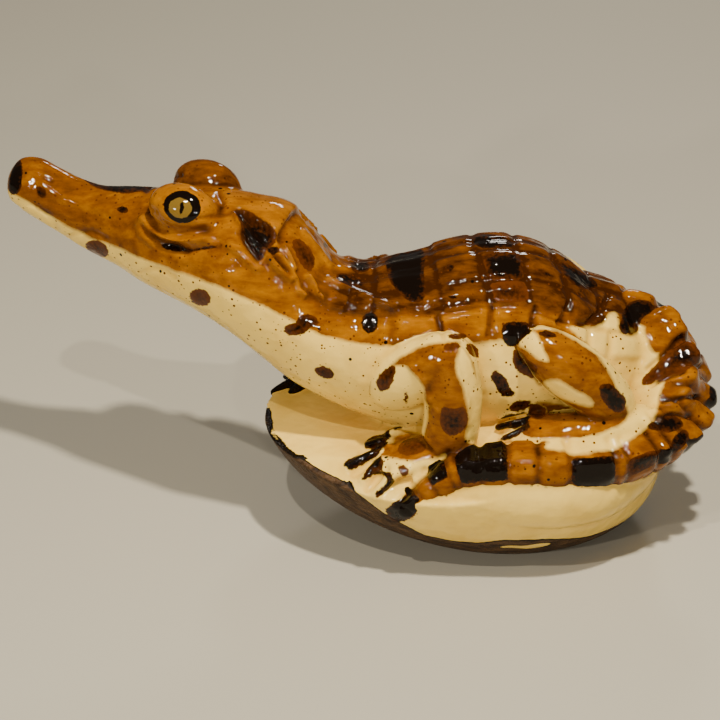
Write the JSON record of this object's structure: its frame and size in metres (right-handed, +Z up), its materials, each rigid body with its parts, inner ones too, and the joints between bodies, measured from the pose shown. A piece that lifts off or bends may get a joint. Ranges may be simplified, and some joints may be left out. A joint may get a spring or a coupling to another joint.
{
  "type": "carved crocodile figurine",
  "caption": "Small crocodile carved from one vegetable ivory nut, head raised and tail curled forward, lying on the lower half of the same nut.",
  "frame": {"origin": "on the sanded flat of the underside, below the middle of the nut", "axes": "+X from the head towards the hips, -Y towards the crocodile's left side, +Z up from the table"},
  "size_m": [0.0663, 0.0282, 0.0344],
  "materials": {
    "varnished_nut": "carved and varnished vegetable ivory, dyed amber and painted with black spots"
  },
  "bodies": {
    "root": {"crocodile_carving": "varnished_nut"}
  },
  "joints": []
}
